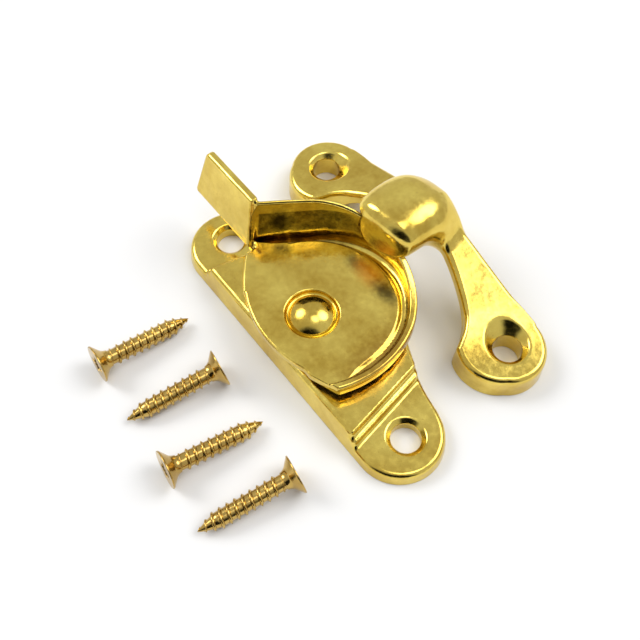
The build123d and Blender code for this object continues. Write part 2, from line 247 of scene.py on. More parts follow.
@dataclass
class Caster:
    """Turns a form into a closed mesh of quads whose vertices lie exactly on the form."""

    cell: float = 0.2
    block: int = 4
    slides: int = 3

    def sample(self, form: Form, low: np.ndarray, high: np.ndarray) -> tuple[np.ndarray, np.ndarray]:
        """Samples the distance on a grid, finely only near the surface.

        Args:
            form: The solid.
            low: Lowest corner of the grid.
            high: Highest corner of the grid.

        Returns:
            The grid's distances and the coordinates of its first point.
        """
        blocks = np.ceil((high - low) / (self.cell * self.block)).astype(int)
        size = self.cell * self.block
        middles = [low[a] + (np.arange(blocks[a]) + 0.5) * size - self.cell / 2 for a in range(3)]
        coarse = form(np.array(np.meshgrid(*middles, indexing="ij")).reshape(3, -1)).reshape(blocks)
        near = np.abs(coarse) < size * 1.35
        spread = np.ones((self.block,) * 3)
        values = np.kron(coarse, spread)
        fine = np.argwhere(np.kron(near, spread) > 0).T
        values[tuple(fine)] = form(low[:, None] + fine * self.cell)
        return values, low

    def skin(self, values: np.ndarray) -> tuple[np.ndarray, np.ndarray]:
        """Wraps the sampled solid in quads.

        Args:
            values: Distances on the grid.

        Returns:
            Vertices in grid steps, as rows x, y, z, and quads as rows of four vertex numbers.
        """
        inside = values < 0
        shape = np.array(values.shape) - 1
        corners = list(product((0, 1), repeat=3))
        views = {c: tuple(slice(o, o + n) for o, n in zip(c, shape)) for c in corners}
        count = sum(inside[views[c]].astype(np.int8) for c in corners)
        mixed = np.argwhere((count > 0) & (count < 8)).T
        number = np.full(shape, -1, np.int64)
        number[tuple(mixed)] = np.arange(mixed.shape[1])
        total = np.zeros(mixed.shape)
        crossings = np.zeros(mixed.shape[1])
        units = ((1, 0, 0), (0, 1, 0), (0, 0, 1))
        steps = [(a, tuple(np.add(a, unit))) for a in corners for unit in units]
        for a, b in (step for step in steps if max(step[1]) == 1):
            va = values[tuple(mixed + np.array(a)[:, None])]
            vb = values[tuple(mixed + np.array(b)[:, None])]
            crossed = (va < 0) != (vb < 0)
            share = np.where(crossed, va / np.where(crossed, va - vb, 1), 0)
            spot = np.array(a)[:, None] + share * (np.array(b) - np.array(a))[:, None]
            total += np.where(crossed, spot, 0)
            crossings += crossed
        vertices = mixed + total / crossings
        quads = []
        for axis in range(3):
            u, v = (axis + 1) % 3, (axis + 2) % 3
            first = np.moveaxis(inside, axis, 0)[:-1]
            second = np.moveaxis(inside, axis, 0)[1:]
            for solid_first in (True, False):
                hit = (first & ~second) if solid_first else (~first & second)
                at = np.argwhere(np.moveaxis(hit, 0, axis)).T
                ring = []
                for du, dv in ((-1, -1), (0, -1), (0, 0), (-1, 0)):
                    near = at.copy()
                    near[u] += du
                    near[v] += dv
                    ring.append(number[tuple(near)])
                quads.append(np.array(ring if solid_first else ring[::-1]))
        return vertices, np.concatenate(quads, axis=1).T

    def hollows(self, form: Form, at: Points, normals: Points) -> np.ndarray:
        """How far each point lies in a hollow, from 0 in the open to 1.

        Args:
            form: The solid.
            at: Points on it.
            normals: Unit normals there.

        Returns:
            One share for each point.
        """
        reaches = (0.5, 1.2, 2.5)
        return sum(np.clip(1 - form(at + normals * h) / h, 0, 1) for h in reaches) / len(reaches)

    def cast(self, form: Form, low: Vector, high: Vector) -> tuple:
        """Meshes a form.

        Args:
            form: The solid, in millimetres.
            low: Lowest corner of the solid's box, in metres.
            high: Highest corner of the solid's box, in metres.

        Returns:
            Vertices as columns in millimetres, quads, unit normals and hollows at the vertices.
        """
        margin = 3 * self.cell
        start = np.array(low) / MM - margin
        values, origin = self.sample(form, start, np.array(high) / MM + margin)
        vertices, quads = self.skin(values)
        at = origin[:, None] + vertices * self.cell
        at = self.project(form, at)
        edges = np.concatenate([quads[:, [0, 1]], quads[:, [1, 2]], quads[:, [2, 3]], quads[:, [3, 0]]])
        degree = np.bincount(edges.ravel(), minlength=at.shape[1])
        for _ in range(self.slides):
            pull = np.array([
                np.bincount(edges[:, 0], row[edges[:, 1]], at.shape[1])
                + np.bincount(edges[:, 1], row[edges[:, 0]], at.shape[1])
                for row in at
            ]) / degree
            at = self.project(form, at + 0.5 * (pull - at))
        slope = gradient(form, at)
        normals = slope / np.maximum(np.linalg.norm(slope, axis=0), 1e-9)
        return at, quads, normals, self.hollows(form, at, normals)

    def project(self, form: Form, at: Points) -> Points:
        """Moves points onto the form's surface."""
        for _ in range(3):
            slope = gradient(form, at)
            step = form(at) * slope / np.maximum((slope ** 2).sum(0), 0.05)
            at = at - np.clip(step, -self.cell, self.cell)
        return at


def mesh_from(
    name: str, at: Points, quads: np.ndarray, normals: Points, hollow: np.ndarray
) -> bpy.types.Mesh:
    """Blender mesh of a cast form.

    Args:
        name: The mesh's name.
        at: Vertices as columns in millimetres.
        quads: Rows of four vertex numbers.
        normals: Unit normals at the vertices, as columns.
        hollow: How far each vertex lies in a hollow, kept as the attribute "hollow".

    Returns:
        The mesh, in metres, smooth, with those normals.
    """
    mesh = bpy.data.meshes.new(name)
    mesh.vertices.add(at.shape[1])
    mesh.vertices.foreach_set("co", (at.T * MM).astype(np.float32).ravel())
    mesh.loops.add(quads.size)
    mesh.loops.foreach_set("vertex_index", quads.astype(np.int32).ravel())
    mesh.polygons.add(len(quads))
    mesh.polygons.foreach_set("loop_start", np.arange(0, quads.size, 4, dtype=np.int32))
    mesh.update(calc_edges=True)
    mesh.validate()
    mesh.shade_smooth()
    mesh.attributes.new("hollow", "FLOAT", "POINT").data.foreach_set("value", hollow.astype(np.float32))
    mesh.normals_split_custom_set_from_vertices([tuple(n) for n in normals.T])
    return mesh


def show(mesh: bpy.types.Mesh, name: str, body: Body, slot: Slot, node: str) -> None:
    """Puts a finished piece into the scene in place of a CAD node.

    Args:
        mesh: The piece's mesh, in the row frame.
        name: The piece's name.
        body: The CAD body that it rides on.
        slot: The record's material slot; not used.
        node: The CAD node that it stands for.
    """
    piece = bpy.data.objects.new(name, mesh)
    bpy.context.scene.collection.objects.link(piece)
    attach(piece, body.value)
    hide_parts(node)
    LOG.info("%s: %d vertices, %d faces, on %s", name, len(mesh.vertices), len(mesh.polygons), body.value)


# --- Materials -----------------------------------------------------------------------------------


class Signal:
    """A socket's value, with arithmetic that adds Math nodes."""

    def __init__(self, graph: "Graph", socket: bpy.types.NodeSocket) -> None:
        """Wraps an output socket of a graph."""
        self.graph = graph
        self.socket = socket

    def math(self, operation: str, *others: "Signal | float", swapped: bool = False) -> "Signal":
        """One Math node on this value and the others."""
        values = [self, *others]
        if swapped:
            values.reverse()
        return self.graph.node("ShaderNodeMath", {"operation": operation}, dict(enumerate(values)))

    def __add__(self, other: "Signal | float") -> "Signal":
        """Sum."""
        return self.math("ADD", other)

    __radd__ = __add__

    def __sub__(self, other: "Signal | float") -> "Signal":
        """Difference."""
        return self.math("SUBTRACT", other)

    def __rsub__(self, other: "Signal | float") -> "Signal":
        """Difference the other way round."""
        return self.math("SUBTRACT", other, swapped=True)

    def __mul__(self, other: "Signal | float") -> "Signal":
        """Product."""
        return self.math("MULTIPLY", other)

    __rmul__ = __mul__

    def clamped(self) -> "Signal":
        """This value held between 0 and 1."""
        return self.graph.node("ShaderNodeClamp", {}, {"Value": self})


class Graph:
    """The nodes of a material or of the surroundings."""

    def __init__(self, tree: bpy.types.NodeTree) -> None:
        """Takes an empty node tree."""
        self.tree = tree

    @classmethod
    def of_material(cls, name: str) -> "Graph":
        """Makes an empty material of that name."""
        material = bpy.data.materials.new(name)
        material.use_nodes = True
        material.node_tree.nodes.clear()
        return cls(material.node_tree)

    def finish(self, shader: Signal) -> None:
        """Links a shader to the material's output."""
        out = self.tree.nodes.new("ShaderNodeOutputMaterial")
        self.tree.links.new(shader.socket, out.inputs["Surface"])

    def steps(self, value: Signal, low: float, high: float) -> Signal:
        """Rises smoothly from 0 at low to 1 at high."""
        limits = {"Value": value, "From Min": low, "From Max": high}
        return self.node("ShaderNodeMapRange", {"interpolation_type": "SMOOTHSTEP"}, limits)

    def node(self, kind: str, settings: dict, inputs: dict, output: int | str = 0) -> Signal:
        """Adds a node.

        Args:
            kind: The node's type.
            settings: Its settings, set first.
            inputs: Values or signals for its sockets, by name or number.
            output: The output that is wanted.

        Returns:
            That output.
        """
        made = self.tree.nodes.new(kind)
        for key, value in settings.items():
            setattr(made, key, value)
        for key, value in inputs.items():
            if isinstance(value, Signal):
                self.tree.links.new(value.socket, made.inputs[key])
            else:
                made.inputs[key].default_value = value
        return Signal(self, made.outputs[output])

    def noise(self, at: Signal, per_mm: float, detail: float = 3.0, rough: float = 0.5) -> Signal:
        """Noise over the object with features about 1 / per_mm millimetres wide."""
        sockets = {"Vector": at, "Scale": per_mm / MM, "Detail": detail, "Roughness": rough}
        return self.node("ShaderNodeTexNoise", {}, sockets)

    def blend(self, factor: "Signal | float", a: "Signal | Colour", b: "Signal | Colour") -> Signal:
        """Colour between a and b."""
        colours = {6: a if isinstance(a, Signal) else (*a, 1), 7: b if isinstance(b, Signal) else (*b, 1)}
        return self.node("ShaderNodeMix", {"data_type": "RGBA"}, {0: factor, **colours}, 2)


# Brown painted shade that dims the bright reflection in the lever's channel on the right.
PAINTED_SHADE_BROWN = (0.36, 0.16, 0.02)
# Orange painted reflection of the keeper's nose on the lever's far rim.
PAINTED_REFLECTION_ORANGE = (0.85, 0.34, 0.03)
# Near-black painted shade and painted dark reflection, for the lever's far channel, the tab's root and the
# far rim.
PAINTED_SHADE_BLACK = (0.05, 0.03, 0.01)


@dataclass(frozen=True)
class Patch:
    """A soft-edged region painted in one tint, used for painted shade and painted reflections: middle and
    half sizes in millimetres, tint and strength.
    """

    at: tuple[float, float, float]
    radii: tuple[float, float, float]
    tint: Colour
    strength: float

    def mask(self, graph: Graph, at: Signal, stray: Signal) -> Signal:
        """How far each point lies within the patch.

        Args:
            graph: The material's tree.
            at: Object coordinates.
            stray: What makes the edge uneven.

        Returns:
            The strength in the middle, falling to 0 at the edge.
        """
        middle = {0: at, 1: tuple(v * MM for v in self.at)}
        offset = graph.node("ShaderNodeVectorMath", {"operation": "SUBTRACT"}, middle)
        share = {0: offset, 1: tuple(1 / (v * MM) for v in self.radii)}
        scaled = graph.node("ShaderNodeVectorMath", {"operation": "MULTIPLY"}, share)
        away = graph.node("ShaderNodeVectorMath", {"operation": "LENGTH"}, {0: scaled}, "Value")
        return (1.0 - graph.steps(away + stray, 0.1, 1.1)) * self.strength


@dataclass(frozen=True)
class BrassFinish:
    """Polished brass on a casting: bright plating, faint ripple left by polishing, fine pits and specks."""

    name: str
    metal: Colour = (0.93, 0.73, 0.165)
    deep: Colour = (0.62, 0.42, 0.065)
    stain: Colour = (0.42, 0.22, 0.04)
    # Colour of the painted shade in hollows, which also stands for polishing residue left in them.
    hollow_shade_and_residue: Colour = (0.16, 0.075, 0.012)
    roughness: float = 0.12
    roughness_spread: float = 0.11
    ripple_per_mm: float = 0.28
    ripple_mm: float = 0.12
    dimple_per_mm: float = 1.3
    dimple_mm: float = 0.014
    grain_per_mm: float = 7.0
    grain_mm: float = 0.0015
    patches: tuple[Patch, ...] = ()

    def material(self) -> bpy.types.Material:
        """Builds the material."""
        graph = Graph.of_material(self.name)
        at = graph.node("ShaderNodeTexCoord", {}, {}, "Object")
        cloud = graph.noise(at, 0.15, 4.0)
        mottle = graph.noise(at, 1.1, 4.0, 0.6)
        speck = graph.noise(at, 3.1, 3.0, 0.55)
        tone = (cloud * 2.4 - 0.7 + (mottle - 0.5) * 0.7).clamped()
        plated = graph.blend(tone, self.deep, self.metal)
        colour = graph.blend(graph.steps(speck, 0.66, 0.74) * 0.6, plated, self.stain)
        # Painted shade: darkens the colour where the hollow measure is high, in creases and channels, also
        # standing for polishing residue there.
        hollow = graph.node("ShaderNodeAttribute", {"attribute_name": "hollow"}, {}, "Fac")
        hollow_shade_and_residue = graph.steps(hollow + (mottle - 0.5) * 0.3, 0.36, 0.8)
        colour = graph.blend(hollow_shade_and_residue * 0.85, colour, self.hollow_shade_and_residue)
        # Painted shade and painted reflections laid on as soft patches.
        for patch in self.patches:
            colour = graph.blend(patch.mask(graph, at, (mottle - 0.5) * 0.5), colour, patch.tint)
        rough = self.roughness + graph.steps(mottle, 0.35, 0.65) * self.roughness_spread
        ripple = graph.noise(at, self.ripple_per_mm, 1.0) * self.ripple_mm
        dimple = graph.noise(at, self.dimple_per_mm, 2.0) * self.dimple_mm
        grain = graph.noise(at, self.grain_per_mm, 3.0, 0.6) * self.grain_mm
        height = {"Strength": 1.0, "Distance": MM, "Height": ripple + dimple + grain}
        bump = graph.node("ShaderNodeBump", {}, height)
        metal = {"Base Color": colour, "Metallic": 1.0, "Roughness": rough, "Normal": bump}
        graph.finish(graph.node("ShaderNodeBsdfPrincipled", {}, metal))
        return bpy.data.materials[self.name]


# --- Castings ------------------------------------------------------------------------------------


@dataclass
class BasePlate:
    """Cast base: two countersunk lobes, a raised platform with moulded ends and a rounded bulge."""

    hole_x: float = 22.4
    hole_r: float = 2.31
    sink_r: float = 3.05
    lobe_x: float = 21.35
    lobe_y: float = -0.45
    lobe_r: float = 7.12
    bulge_r: float = 14.65
    flank: float = 49.0
    draft: float = 8.0
    land_z: float = 2.5
    step_z: float = 3.75
    platform_z: float = 5.0
    platform_x: float = 16.7
    step_out: float = 1.0
    slant: float = 10.5
    shank_r: float = 2.05

    def outline(self) -> Form:
        """Plan of the base at its foot."""
        y, r = self.lobe_y, self.lobe_r
        slot = Form(lambda at: np.hypot(np.maximum(np.abs(at[0]) - self.lobe_x, 0), at[1] - y) - r)
        lean = math.radians(self.flank)
        touch = (self.bulge_r * math.cos(lean), self.bulge_r * math.sin(lean))
        far = y + r - 3
        foot = (self.bulge_r - far * math.sin(lean)) / math.cos(lean)
        flanks = prism([(foot, far), touch, (-touch[0], touch[1]), (-foot, far), (-foot, -2), (foot, -2)])
        bulge = disc(0, 0, self.bulge_r).join(flanks)
        near = behind((0, -1, 0), (0, y - r, 0))
        return slot.join(bulge.common(near), 6.0).common(near)

    def upper(self) -> Form:
        """Top surfaces: lands, the step of the moulding and the platform."""
        tilt = math.radians(self.slant)
        c, s = math.cos(tilt), math.sin(tilt)

        def along(at: Points) -> np.ndarray:
            """Distance past the platform's end, square to its edge."""
            return (np.abs(at[0]) - self.platform_x) * c + at[1] * s

        platform = Form(along).common(below(self.platform_z), 0.25)
        step = Form(lambda at: along(at) - self.step_out).common(below(self.step_z), 0.2)
        return below(self.land_z).join(step, 0.7).join(platform, 0.8)

    def form(self) -> Form:
        """The whole casting."""
        solid = self.upper().common(self.outline().drafted(self.draft), 0.75).common(above(0), 0.15)
        for x in (self.hole_x, -self.hole_x):
            sink = cone(x, 0, self.land_z, self.sink_r, 1.0)
            solid = solid.cut(sink.join(disc(x, 0, self.hole_r)), 0.15)
        hollow = self.outline().grown(-1.8).common(below(3.4), 0.5)
        inner = Form(lambda at: np.abs(at[0]) - 14.8)
        return solid.cut(hollow.common(inner, 1.0), 0.1).cut(disc(0, 0, self.shank_r))


@dataclass
class CamLever:
    """Cam plate with its plateau, channel and climbing rim, and the thumb tab, in one casting."""

    flange_z: float = 6.4
    hub_r: float = 7.4
    hub_z: float = 5.65
    floor_z: float = 6.8
    floor_tilt: float = 0.04
    plateau_z: float = 8.05
    plateau_r: float = 13.5
    wall: float = 0.65
    cove: float = 0.75
    channel: float = 1.95
    high_c: Pair = (0.57, 0.82)
    high_r: float = 15.75
    flare: float = 147.0
    low_c: Pair = (-3.38, 1.64)
    low_r: float = 17.15
    near_c: Pair = (-0.61, 10.68)
    near_r: float = 18.7
    tip: Pair = (13.1, -4.7)
    corner: Pair = (-16.3, -0.45)
    low_z: float = 8.65
    ramp_x: float = 7.9
    ramp: float = 0.379
    high_z: float = 16.2
    ramp_bend: float = 1.3
    dish_r: float = 4.12
    dish_z: float = 7.25
    bore_r: float = 2.05
    tab_y: float = -0.65
    tab_lean: float = 2.4
    tab_side: float = -10.0
    tab_thick: float = 1.35
    tab_low: float = 7.6
    tab_foot: float = 7.2
    tab_high: float = 16.5
    tab_end: float = -31.0
    tab_end_lean: float = 1.7
    # Painted shade and painted reflections fixed on the lever's surface; they turn with it.
    painted_shade_and_reflections: tuple[Patch, ...] = (
        # Painted shade in the far channel and by the tab's root.
        Patch((-7.0, 9.0, 6.4), (12.0, 7.5, 1.05), PAINTED_SHADE_BLACK, 0.9),
        Patch((-14.6, 4.9, 11.9), (2.9, 2.2, 3.0), PAINTED_SHADE_BLACK, 0.9),
        # Painted shade dimming the channel's right side.
        Patch((13.2, 4.5, 7.6), (5.5, 11.0, 3.0), PAINTED_SHADE_BROWN, 0.7),
        # Painted dark and orange reflections of the nose along the far rim.
        Patch((-2.9, 11.2, 8.0), (3.2, 2.0, 1.0), PAINTED_SHADE_BLACK, 0.8),
        Patch((-0.2, 11.4, 8.0), (4.2, 2.6, 1.0), PAINTED_REFLECTION_ORANGE, 0.75),
        Patch((3.9, 11.2, 8.0), (3.6, 2.1, 1.0), PAINTED_SHADE_BLACK, 0.85),
    )

    def tab_front(self) -> Form:
        """The half of space in front of the tab's middle plane."""
        middle = (0.0, self.tab_y + self.tab_thick / 2, self.tab_foot)
        return behind((0, self.tab_high - self.tab_foot, -self.tab_lean), middle)

    def ring(self, inset: float) -> Form:
        """Plan inside the rim's outer line, which leaves the circle straight for the tab, less an inset."""
        low = disc(*self.low_c, self.low_r - inset)
        ring = low.common(disc(*self.high_c, self.high_r - inset), 1.5)
        turn = math.radians(self.flare)
        out = np.array([math.cos(turn), math.sin(turn), 0])
        touch = np.array([*self.high_c, 0]) + (self.high_r - inset) * out
        straight = behind(out, touch).common(behind((out[1], -out[0], 0), touch))
        return ring.join(straight.cut(self.tab_front()))

    def plan(self) -> Form:
        """Whole plan of the cam plate."""
        tip = prism([(8.0, -6.0), self.tip, (15.0, 2.0), (6.0, 4.0)])
        root = prism([(-9.6, -5.8), self.corner, (-18.0, 2.0), (-8.0, 3.0)])
        near = disc(*self.near_c, self.near_r).join(tip, 2.0).join(root, 0.6)
        return self.ring(0).common(near, 0.3)

    def plateau(self) -> Form:
        """Plan of the flat plateau, with its point at the tip."""
        low = disc(*self.low_c, self.low_r - self.wall - self.channel)
        point = prism([(8.0, 5.0), (10.9, 2.6), (11.4, -0.8), (12.0, -3.0), (12.9, -4.9), (8.0, -8.0)])
        far = disc(0, 0, self.plateau_r).common(low, 1.0)
        root = prism([(-17.6, -0.5), (-12.8, 4.6), (-9.0, -8.0), (-18.0, -8.0)])
        return far.join(point, 0.4).join(root, 1.0)

    def crest(self) -> Form:
        """Everything under the top of the rim, which climbs between two soft bends."""
        stop = self.ramp_x - (self.high_z - self.low_z) / self.ramp

        def distance(at: Points) -> np.ndarray:
            """Distance over the top."""
            start, end = ((x - at[0]) / self.ramp_bend for x in (self.ramp_x, stop))
            climb = self.ramp_bend * (np.logaddexp(0, start) - np.logaddexp(0, end))
            return (at[2] - self.low_z - self.ramp * climb) / math.hypot(1, self.ramp)

        return Form(distance)

    def tab(self) -> Form:
        """The leaning thumb tab."""
        face = self.tab_front()
        slab = Form(lambda at: np.abs(face(at)) - self.tab_thick / 2)
        rise = self.tab_high - self.tab_foot
        end = behind((-rise, 0, self.tab_end_lean), (self.tab_end, 0, self.tab_foot))
        root = behind((1, 0, 0.14), (-16.0, 0, self.plateau_z))
        outline = layer(self.tab_low, self.tab_high).common(end, 0.8).common(root)
        return slab.common(outline, 0.45)

    def form(self) -> Form:
        """The whole casting."""
        plan = self.plan()
        plate = plan.common(layer(self.flange_z, self.plateau_z), 0.4)
        hub = disc(0, 0, self.hub_r).common(layer(self.hub_z, self.flange_z + 0.6), 0.3)
        deep = self.ring(self.wall + self.cove)
        inner = Form(lambda at: deep(at) - np.clip((at[2] - self.floor_z) * 0.11, 0, self.cove))
        wall = plan.cut(inner).common(self.crest().common(above(self.floor_z - 0.4)), 0.42)
        wall = wall.cut(self.tab_front().common(Form(lambda at: at[0] - self.tab_side)))
        floor = behind((self.floor_tilt, 0, -1), (0, 0, self.floor_z + 0.45))
        trough = inner.cut(self.plateau()).common(floor, 0.9)
        body = plate.join(hub, 0.4).cut(trough, 0.35)
        body = body.join(wall, 0.15).join(self.tab(), 0.6)
        dish = disc(0, 0, self.dish_r).common(above(self.dish_z), 0.5)
        return body.cut(dish, 0.3).cut(disc(0, 0, self.bore_r))


@dataclass
class Keeper:
    """Keeper: two countersunk lugs, the arched bridge between them and the hooked nose."""

    middle_x: float = -0.93
    hole_y: float = 21.2
    half_pitch: float = 22.4
    hole_r: float = 2.31
    sink_r: float = 3.0
    lug_r: float = 6.2
    lug_z: float = 4.4
    rear_y: float = 27.35
    slope: float = 0.385
    reach: float = 20.8
    crown: float = 0.35
    bend: float = 2.8
    inner_y: float = 22.6
    inner_bow: float = 0.0183
    inner_near: float = 16.2
    arm_thick: float = 2.4
    arm_draft: float = 2.5
    arm_edge: float = 0.9
    bay_end: float = 16.2
    bay_lean: float = 0.35
    toe_at: Pair = (21.0, 20.6)
    toe_r: float = 6.95
    toe_end: Pair = (15.6, 18.4)
    toe_facing: Pair = (-4.0, -2.1)
    nose_at: tuple[float, float, float] = (-2.8, 19.6, 12.2)
    nose_radii: tuple[float, float, float] = (6.3, 7.3, 5.2)
    under_x: float = -2.4
    under_z: float = 15.6
    under_r: float = 6.5
    neck_half: float = 3.2
    neck_outline: tuple[Pair, ...] = ((18.6, 13.0), (18.6, 9.6), (20.4, 8.7), (24.6, 8.7), (25.2, 13.0))
    facet_at: tuple[float, float, float] = (0.0, 14.4, 12.0)
    facet: tuple[float, float, float] = (0.15, -1.0, 0.08)
    facet_edge: float = 1.7
    nose_squareness: float = 2.6
    nose_fillet: float = 4.6
    slot_in: tuple[float, float, float] = (0.57, 0.82, 14.8)
    slot_out: float = 17.9
    slot_slope: tuple[float, float, float] = (0.379, 0.0, 1.0)
    slot_top: tuple[float, float, float] = (7.9, 0.0, 9.35)

    def side(self, at: Points) -> np.ndarray:
        """Distance from the keeper's middle, along the row of holes."""
        return np.abs(at[0] - self.middle_x)

    def mirrored(self, form: Form) -> Form:
        """A form given over the distance from the middle, on both sides."""
        return Form(lambda at: form(np.array([self.side(at), at[1], at[2]])))

    def incline(self, drop: float) -> Form:
        """Everything under the arm's top, which climbs from the lug in a soft bend, less a drop."""

        def distance(at: Points) -> np.ndarray:
            """Distance over the top."""
            short = self.reach - at[0] + self.crown * (at[1] - self.hole_y)
            climb = self.bend * np.logaddexp(0, short / self.bend)
            return (at[2] - self.lug_z + drop - self.slope * climb) / math.hypot(1, self.slope)

        return Form(distance)

    def arms(self) -> Form:
        """Lugs and bridge as one arched bar."""
        lug = disc(self.half_pitch, self.hole_y, self.lug_r)
        toe = disc(*self.toe_at, self.toe_r)
        toe = toe.common(behind((*self.toe_facing, 0), (*self.toe_end, 0)), 0.3)

        def front(at: Points) -> np.ndarray:
            """Distance in front of the arm's concave inner edge."""
            edge = self.inner_y - self.inner_bow * at[0] ** 2
            return (edge - at[1]) / np.hypot(1, 2 * self.inner_bow * at[0])

        bar = Form(front).common(self.rear()).common(Form(lambda at: self.inner_near - at[1]))
        bar = bar.common(Form(lambda at: at[0] - self.half_pitch))
        plan = lug.join(toe).join(bar, 0.6).drafted(self.arm_draft)
        bay_side = behind((1, 0, self.bay_lean), (self.bay_end, 0, 0))
        bay = self.incline(self.arm_thick).common(bay_side, 2.0)
        arm = plan.common(self.incline(0), self.arm_edge).common(above(0), 0.15).cut(bay, 0.3)
        return self.mirrored(arm)

    def rear(self) -> Form:
        """Everything in front of the keeper's straight rear edge."""
        return Form(lambda at: at[1] - self.rear_y)

    def nose(self) -> Form:
        """The hooked nose: a bulb, round below, cut by a flat facet in front and grooved for the rim."""
        x = self.nose_at[0]
        bulb = swelling(self.nose_at, self.nose_radii, self.nose_squareness)
        under = Form(lambda at: np.hypot(at[0] - self.under_x, at[2] - self.under_z) - self.under_r)
        neck = prism(self.neck_outline, (1, 2))
        sides = Form(lambda at: np.abs(at[0] - x) - self.neck_half)
        block = bulb.common(under, 0.8).join(neck.common(sides, 1.0), 1.0)
        roof = behind(self.slot_slope, self.slot_top)
        groove = disc(0, 0, self.slot_out).cut(disc(*self.slot_in)).common(roof)
        return block.common(behind(self.facet, self.facet_at), self.facet_edge).cut(groove, 0.25)

    def form(self) -> Form:
        """The whole casting."""
        solid = self.arms().join(self.nose(), self.nose_fillet).common(self.rear(), 0.6)
        for x in (self.middle_x - self.half_pitch, self.middle_x + self.half_pitch):
            sink = cone(x, self.hole_y, self.lug_z + 0.1, self.sink_r, 1.0)
            solid = solid.cut(sink.join(disc(x, self.hole_y, self.hole_r)), 0.2)
        return solid


@dataclass
class Washer:
    """A round washer, flat or pressed into shallow waves."""

    outer_r: float
    bore_r: float
    low: float
    high: float
    thick: float
    waves: int = 0

    def form(self) -> Form:
        """The whole washer."""
        middle = (self.low + self.high) / 2
        swing = (self.high - self.low - self.thick) / 2

        def off(at: Points) -> np.ndarray:
            """Distance from the washer's faces."""
            bend = swing * np.cos(self.waves * np.arctan2(at[1], at[0]))
            return np.abs(at[2] - middle - bend) - self.thick / 2

        return disc(0, 0, self.outer_r).common(Form(off), 0.1).cut(disc(0, 0, self.bore_r), 0.08)


@dataclass
class PivotRivet:
    """Domed pivot rivet with its closed tail."""

    shank_r: float = 2.0
    head_r: float = 3.75
    head_z: float = 7.1
    top_z: float = 9.3
    tail_r: float = 3.0
    tail_low: float = 1.0
    tail_high: float = 2.4

    def form(self) -> Form:
        """The whole rivet."""
        rise = self.top_z - self.head_z - 0.3
        dome_r = (self.head_r ** 2 + rise ** 2) / (2 * rise)
        middle = np.array([[0.0], [0.0], [self.top_z - dome_r]])
        dome = Form(lambda at: np.linalg.norm(at - middle, axis=0) - dome_r)
        head = dome.common(disc(0, 0, self.head_r), 0.2).common(above(self.head_z), 0.1)
        tail = disc(0, 0, self.tail_r).common(layer(self.tail_low, self.tail_high), 0.5)
        shank = disc(0, 0, self.shank_r).common(layer(self.tail_low + 0.3, self.head_z + 0.5))
        return head.join(shank).join(tail)


class GeometryTree:
    """A Geometry Nodes tree with named number inputs, run once into a plain mesh."""

    def __init__(self, name: str, **numbers: float) -> None:
        """Makes the tree and its inputs.

        Args:
            name: The tree's name.
            numbers: Its inputs and their values.
        """
        self.tree = bpy.data.node_groups.new(name, "GeometryNodeTree")
        self.tree.interface.new_socket("Geometry", in_out="OUTPUT", socket_type="NodeSocketGeometry")
        self.numbers = numbers
        self.keys = {}
        for label in numbers:
            made = self.tree.interface.new_socket(label, in_out="INPUT", socket_type="NodeSocketFloat")
            self.keys[label] = made.identifier
        self.entry = self.tree.nodes.new("NodeGroupInput")

    def number(self, label: str) -> bpy.types.NodeSocket:
        """The output socket of a named input."""
        return self.entry.outputs[label]

    def node(self, kind: str, settings: dict, inputs: dict, output: int | str = 0) -> bpy.types.NodeSocket:
        """Adds a node.

        Args:
            kind: The node's type.
            settings: Its settings, set first.
            inputs: Values or sockets for its inputs, by name or number; a list joins several.
            output: The output that is wanted.

        Returns:
            That output's socket.
        """
        made = self.tree.nodes.new(kind)
        for key, value in settings.items():
            setattr(made, key, value)
        for key, value in inputs.items():
            for one in value if isinstance(value, list) else [value]:
                if isinstance(one, bpy.types.NodeSocket):
                    self.tree.links.new(one, made.inputs[key])
                else:
                    made.inputs[key].default_value = one
        return made.outputs[output]

    def math(self, operation: str, *values: "bpy.types.NodeSocket | float") -> bpy.types.NodeSocket:
        """One Math node."""
        return self.node("ShaderNodeMath", {"operation": operation}, dict(enumerate(values)))

    def mesh(self, geometry: bpy.types.NodeSocket, material: bpy.types.Material) -> bpy.types.Mesh:
        """Runs the tree.

        Args:
            geometry: What the tree makes.
            material: Its finish.

        Returns:
            A plain mesh.
        """
        real = self.node("GeometryNodeRealizeInstances", {}, {"Geometry": geometry})
        dressed = self.node("GeometryNodeSetMaterial", {}, {"Geometry": real, "Material": material})
        out = self.tree.nodes.new("NodeGroupOutput")
        self.tree.links.new(dressed, out.inputs["Geometry"])
        host = bpy.data.objects.new(self.tree.name, bpy.data.meshes.new(self.tree.name))
        bpy.context.scene.collection.objects.link(host)
        modifier = host.modifiers.new(self.tree.name, "NODES")
        modifier.node_group = self.tree
        for label, value in self.numbers.items():
            modifier[self.keys[label]] = value
        run = host.evaluated_get(bpy.context.evaluated_depsgraph_get())
        mesh = bpy.data.meshes.new_from_object(run)
        bpy.data.objects.remove(host)
        return mesh


